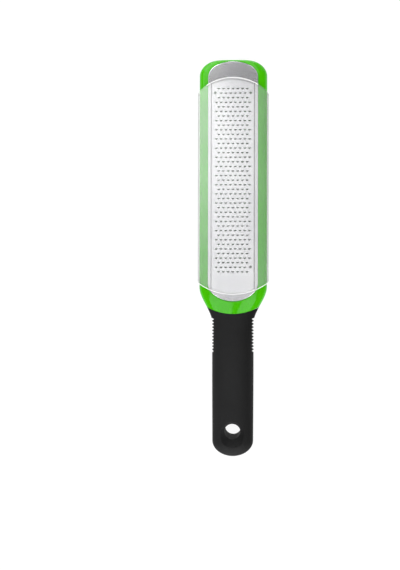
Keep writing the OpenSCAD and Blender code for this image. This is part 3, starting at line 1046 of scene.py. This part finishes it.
clear = number(tree, "MULTIPLY", outer, lit.outputs["Result"])
white = add(tree, "ShaderNodeEmission")
put(white, Strength=PAPER_WHITE)
gain = number(tree, "MULTIPLY", seen, clear)
shade_surface(tree, gain, shader.outputs["BSDF"], white.outputs["Emission"])
floor.data.materials.append(paper)
print("floor:", paper.name)

# %% [markdown]
# ## The room
# Far walls light the tool softly from the horizon and from the front, and the ceiling is nearly
# dark, so that the steel shows lamps and not a flat white. A world shader that changes with
# direction does this with no extra objects.

# %% Room
world = bpy.data.worlds.new("studio")
bpy.context.scene.world = world
world.use_nodes = True
sky = world.node_tree
parts = add(sky, "ShaderNodeSeparateXYZ")
join(sky, add(sky, "ShaderNodeTexCoord").outputs["Generated"], parts.inputs["Vector"])
walls = ramp(sky, parts.outputs["Z"], "SMOOTHSTEP", From_Max=0.5, To_Min=0.8, To_Max=0.05)
front = ramp(
    sky, parts.outputs["Y"], "SMOOTHSTEP", From_Min=-0.25, From_Max=-0.6, To_Max=0.5
)
total = number(sky, "ADD", walls.outputs["Result"], front.outputs["Result"])
join(sky, total, sky.nodes["Background"].inputs["Strength"])
put(sky.nodes["Background"], Color=grey(1))
print("room:", world.name)

# %% [markdown]
# ## The lamps
# Gloss is mostly the picture of the lamps, so each soft lamp is placed where a face of the tool
# mirrors it: panels behind for the tip and its rails, strips near the horizon for the rounded
# edges, and panels in front for the neck, with a narrow gap that draws the dark line down its
# middle. The strength is given as the brightness of the lamp's face, which doesn't change with
# its size.

# %% Lamps


def softbox(name, place, size, brightness, aim, turn=0):
    """A soft lamp whose face, seen directly, has the given brightness, where 1 is white."""
    data = bpy.data.lights.new(name, "AREA")
    data.shape, data.size, data.size_y = "RECTANGLE", size[0], size[1]
    data.energy = brightness * math.pi * size[0] * size[1]
    lamp = link(name, data)
    lamp.location = place
    facing = (Vector(aim) - Vector(place)).to_track_quat("-Z", "Y")
    lamp.rotation_euler = (facing @ Quaternion((0, 0, 1), math.radians(turn))).to_euler()
    lamp.visible_camera = False


# Name, place, size, brightness, the point it looks at, and a turn in degrees.
softbox("back_left", (-1.03, 1.16, 2.36), (1.76, 1.5), 1.35, (-1.03, -0.56, 0))
softbox("back_right", (0.455, 1.16, 2.36), (1.1, 1.5), 1.35, (0.455, -0.56, 0), 8)
softbox("back_far", (-2.4, 0.75, 2.36), (1.0, 0.6), 1.35, (-2.4, 0.1, 0))
softbox("over_left", (-0.19, 0.03, 0.5), (0.323, 0.08), 1.35, (-0.19, 0.0301, 0))
softbox("over_right", (0.125, 0.03, 0.5), (0.17, 0.08), 1.35, (0.125, 0.0301, 0))
softbox("back_strip", (-0.1, 1.5, 0.38), (1.7, 0.4), 5.0, (-0.1, 0.1, 0))
softbox("front_strip", (0, -1.5, 0.38), (1.7, 0.4), 3.5, (0, -0.1, 0))
softbox("near_left", (-0.42, 0.62, 0.42), (0.5, 0.45), 1.8, (0, 0.1, 0))
softbox("near_right", (0.42, 0.62, 0.42), (0.5, 0.45), 0.25, (0, 0.1, 0))
softbox("top_left", (-0.44, -0.42, 2.0), (0.62, 0.94), 0.75, (-0.44, -0.42, 0))
softbox("top_right", (0.29, -0.42, 2.0), (0.72, 0.94), 0.75, (0.29, -0.42, 0))
softbox("front_left", (-0.8, -1.6, 1.4), (1.3, 1.1), 3.5, (-0.8, -0.05, 0))
softbox("front_right", (0.76, -1.6, 1.4), (1.64, 1.1), 3.4, (0.76, -0.05, 0))

# %% [markdown]
# ## The camera
# The photograph looks straight down from far away, a few degrees from the right. The lens is
# worked out from the scale at the tool, in millimetres per pixel, and a small shift puts the
# tool where it is in the frame, without tilting the camera.

# %% Camera
DISTANCE, TURNS, MM_PER_PIXEL, SENSOR_H = 1.2, (0.5, 3.0, 0.1), 0.8089, 24
PICTURE_W, PICTURE_H, TOOL_X, TOOL_Y = 400, 570, 233.65, 257.9
camera = link("camera", bpy.data.cameras.new("camera"))
bpy.context.scene.camera = camera
camera.rotation_euler = [math.radians(a) for a in TURNS]
camera.location = camera.rotation_euler.to_matrix() @ Vector((0, 0, DISTANCE))
camera.data.sensor_fit, camera.data.sensor_height = "VERTICAL", SENSOR_H
camera.data.lens = DISTANCE / (MM_PER_PIXEL * MM * PICTURE_H) * camera.data.sensor_height
camera.data.shift_x = (PICTURE_W / 2 - TOOL_X) / PICTURE_H
camera.data.shift_y = (TOOL_Y - PICTURE_H / 2) / PICTURE_H
bpy.context.scene.view_settings.view_transform = "Standard"
print("lens:", round(camera.data.lens, 1), "mm")
